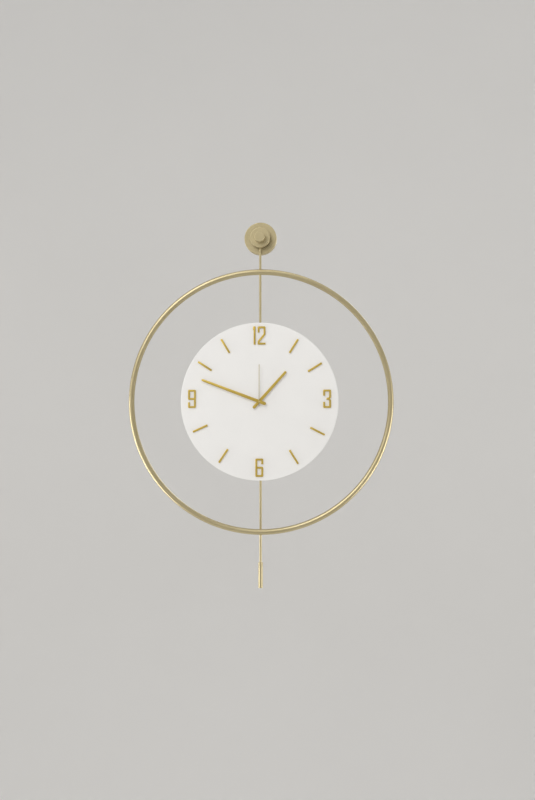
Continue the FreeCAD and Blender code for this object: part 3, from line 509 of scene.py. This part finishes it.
class CLOCK_OT_weight(bpy.types.Operator):
    """Makes the pendulum's weight, bored for the rod and centre-drilled below"""
    bl_idname = "clock.weight"
    bl_label = "Pendulum weight"

    def execute(self, context):
        low, high = (Vector(corner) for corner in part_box("pendulum_weight"))
        radius = (high.x - low.x) / 2
        rod_low, rod_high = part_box("pendulum_rod")
        bore = (rod_high[0] - rod_low[0]) / 2 * THREAD_SHARE
        bore_end = high.z - 2 * radius
        dimple_radius = bore * 0.6
        dimple_top = low.z + bore / 3
        profile = [(0, dimple_top), (dimple_radius, low.z), (radius, low.z), (radius, high.z),
                   (bore, high.z), (bore, bore_end), (0, bore_end)]
        bm = bmesh.new()
        lathe(bm, profile, middle("pendulum_weight"), (0, 0, 1), ROUND_STEPS)
        soften(bm, context.scene.clock_sizes.weight_edge, segments=4, sharp=RIM)
        publish("pendulum_weight_shaped", bm, ["champagne_drawn"], "pendulum",
                ["pendulum_weight"])
        return {"FINISHED"}


class CLOCK_OT_dial_trim(bpy.types.Operator):
    """Makes the numerals and the hour markers, with their edges eased"""
    bl_idname = "clock.dial_trim"
    bl_label = "Numerals and markers"

    def execute(self, context):
        for node in ("numeral_12", "numeral_3", "numeral_6", "numeral_9", "hour_markers"):
            shaped(node, context.scene.clock_sizes.trim_edge, "gilt_satin")
        return {"FINISHED"}


class CLOCK_OT_hands(bpy.types.Operator):
    """Makes the three hands; the second hand's eye is gilt, like the hands under it"""
    bl_idname = "clock.hands"
    bl_label = "Hands"

    def execute(self, context):
        edge = context.scene.clock_sizes.hand_edge
        for node in ("hour_hand", "minute_hand"):
            shaped(node, edge, "gilt_satin")
        low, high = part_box("second_hand")
        eye = (high[0] - low[0]) / 2    # the eye is the hand's widest part
        axis = middle("second_wheel")
        bm = copy_of("second_hand")
        soften(bm, edge)
        # The blade is cut from the eye, so that each can have its own finish.
        for side in (-1, 1):
            bmesh.ops.bisect_plane(bm, geom=[*bm.verts, *bm.edges, *bm.faces],
                                   plane_co=axis + Vector((0, 0, side * eye)), plane_no=(0, 0, 1))
        for face in bm.faces:
            if abs(face.calc_center_median().z - axis.z) < eye:
                face.material_index = 1
        publish("second_hand_shaped", bm, ["champagne_plate", "gilt_satin"], BODY_OF["second_hand"],
                ["second_hand"])
        return {"FINISHED"}


class CLOCK_OT_movement(bpy.types.Operator):
    """Makes the movement's mouldings and the rod's anchor"""
    bl_idname = "clock.movement"
    bl_label = "Movement"

    def execute(self, context):
        edge = context.scene.clock_sizes.moulded_edge
        for node in ("movement_cover", "movement_case", "set_knob", "pendulum_lever"):
            shaped(node, edge, "moulded_abs")
        shaped("rod_anchor", edge, "zinc_plate")
        carry(["pendulum_coil"], "drive_winding")
        return {"FINISHED"}


class CLOCK_OT_battery(bpy.types.Operator):
    """Makes the cell: sleeve, crimped shoulder, can bottom and nub"""
    bl_idname = "clock.battery"
    bl_label = "Battery cell"

    def execute(self, context):
        low, high = (Vector(corner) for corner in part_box("battery_cell"))
        axis = middle("battery_cell")
        radius = (high.z - low.z) / 2
        sleeve = radius - 0.12 * MM         # where the sleeve is drawn in at each end
        lip = 0.5 * MM
        bottom_rim = radius * 0.78
        bottom_dish = radius * 0.7
        dish_depth = 0.3 * MM
        turned_in = radius * 0.9
        turned_in_drop = 0.1 * MM
        nub = radius * 0.37
        nub_edge = 0.3 * MM
        shoulder = high.x - 1.2 * MM
        groove = shoulder - 0.2 * MM        # the shallow groove round the nub
        groove_outer = radius * 0.8
        groove_inner = nub * 1.3
        bare_metal = radius * 0.86          # the ends are bare inside this radius
        profile = [(0, low.x + dish_depth), (bottom_dish, low.x + dish_depth),
                   (bottom_rim, low.x), (turned_in, low.x + turned_in_drop),
                   (sleeve, low.x + lip), (radius, low.x + 2 * lip),
                   (radius, shoulder - 2 * lip), (sleeve, shoulder - lip), (turned_in, shoulder),
                   (groove_outer, groove), (groove_inner, groove),
                   (nub, shoulder), (nub, high.x - nub_edge), (nub - nub_edge, high.x), (0, high.x)]
        bm = bmesh.new()
        lathe(bm, profile, axis, (1, 0, 0), ROUND_STEPS)
        for face in bm.faces:
            spot = face.calc_center_median()
            if math.hypot(spot.y - axis.y, spot.z - axis.z) < bare_metal:
                face.material_index = 1
        publish("battery_cell_shaped", bm, ["cell_sleeve", "bright_nickel"], "battery",
                ["battery_cell"])
        return {"FINISHED"}


# Name, place and size in metres, and power in watts; each points at the ring's middle.
LIGHTS = (
    ("key_light", (-1.5, -2.0, 1.4), (2.2, 2.2), 42),
    ("left_strip", (-2.0, -0.2, -1.1), (0.6, 1.8), 28),
    ("right_strip", (2.0, -0.2, -1.1), (0.6, 1.8), 21),
    ("top_light", (0.1, -0.5, 2.1), (1.6, 0.8), 6),
    ("back_fill", (1.2, 2.4, 0.9), (1.6, 1.6), 16),
)


class CLOCK_OT_studio(bpy.types.Operator):
    """Sets the seamless background, the lights and the camera"""
    bl_idname = "clock.studio"
    bl_label = "Studio"

    def execute(self, context):
        studio = context.scene.clock_studio
        self.background(studio)
        self.sky(context.scene, studio)
        target = middle("ring_tube")
        for name, place, size, watts in LIGHTS:
            self.lamp(name, place, target, size, watts)
        self.camera(context.scene, studio)
        return {"FINISHED"}

    def background(self, studio):
        """A floor that curves up into a round wall, open above."""
        floor = CAD_BOX[0][2] - studio.floor_drop
        radius = studio.studio_radius
        cove = radius / 3
        wall_top = floor + 1.2 * radius
        bends = 12
        profile = [(0, floor), (radius - cove, floor)]
        for step in range(1, bends + 1):
            angle = math.radians(90) * step / bends
            profile.append((radius - cove + cove * math.sin(angle),
                            floor + cove - cove * math.cos(angle)))
        profile.append((radius, wall_top))
        bm = bmesh.new()
        lathe(bm, profile, (0, 0, 0), (0, 0, 1), ROUND_STEPS)
        bmesh.ops.reverse_faces(bm, faces=bm.faces)
        cove_piece = smooth_object("studio_cove", bm, ["studio_paper"])

    def sky(self, scene, studio):
        world = bpy.data.worlds.new("studio_sky")
        world.use_nodes = True
        tree = world.node_tree
        tree.nodes.clear()
        light = add(tree, "ShaderNodeBackground", {"Color": (*linear("#F7F6F5"), 1),
                                                   "Strength": studio.sky})
        add(tree, "ShaderNodeOutputWorld", {"Surface": light.outputs["Background"]})
        scene.world = world

    def lamp(self, name, place, target, size, watts):
        light = bpy.data.lights.new(name, "AREA")
        light.shape = "RECTANGLE"
        light.size, light.size_y = size
        light.energy = watts
        lamp = bpy.data.objects.new(name, light)
        lamp.location = place
        lamp.rotation_euler = (target - Vector(place)).to_track_quat("-Z", "Y").to_euler()
        bpy.context.scene.collection.objects.link(lamp)

    def camera(self, scene, studio):
        view = bpy.data.cameras.new("camera")
        view.lens = studio.lens
        view.shift_x, view.shift_y = studio.shift
        camera = bpy.data.objects.new("camera", view)
        camera.location = studio.camera_place
        camera.rotation_euler = Euler((math.radians(90) + studio.camera_pitch, 0, studio.camera_yaw))
        scene.collection.objects.link(camera)
        scene.camera = camera
        scene.view_settings.view_transform = "Standard"


STEPS = (CLOCK_OT_finishes, CLOCK_OT_wall_knob, CLOCK_OT_rods, CLOCK_OT_weight, CLOCK_OT_dial_trim,
         CLOCK_OT_hands, CLOCK_OT_movement, CLOCK_OT_battery, CLOCK_OT_studio)
GROUPS = {"clock_colours": ClockColours, "clock_sizes": ClockSizes, "clock_studio": ClockStudio}


class CLOCK_PT_sidebar(bpy.types.Panel):
    """Lists the clock's steps and settings"""
    bl_idname = "CLOCK_PT_sidebar"
    bl_label = "Pendulum wall clock"
    bl_space_type = "VIEW_3D"
    bl_region_type = "UI"
    bl_category = "Clock"

    def draw(self, context):
        for step in STEPS:
            self.layout.operator(step.bl_idname)
        for group in GROUPS:
            settings = getattr(context.scene, group)
            for name in settings.__annotations__:
                self.layout.prop(settings, name)


def register():
    for kind in (*GROUPS.values(), *STEPS, CLOCK_PT_sidebar):
        bpy.utils.register_class(kind)
    for name, group in GROUPS.items():
        setattr(bpy.types.Scene, name, bpy.props.PointerProperty(type=group))


def unregister():
    for name in GROUPS:
        delattr(bpy.types.Scene, name)
    for kind in reversed((*GROUPS.values(), *STEPS, CLOCK_PT_sidebar)):
        bpy.utils.unregister_class(kind)


def main():
    register()
    for step in STEPS:
        name = step.bl_idname.split(".")[1]
        getattr(bpy.ops.clock, name)()


if __name__ == "__main__":
    main()
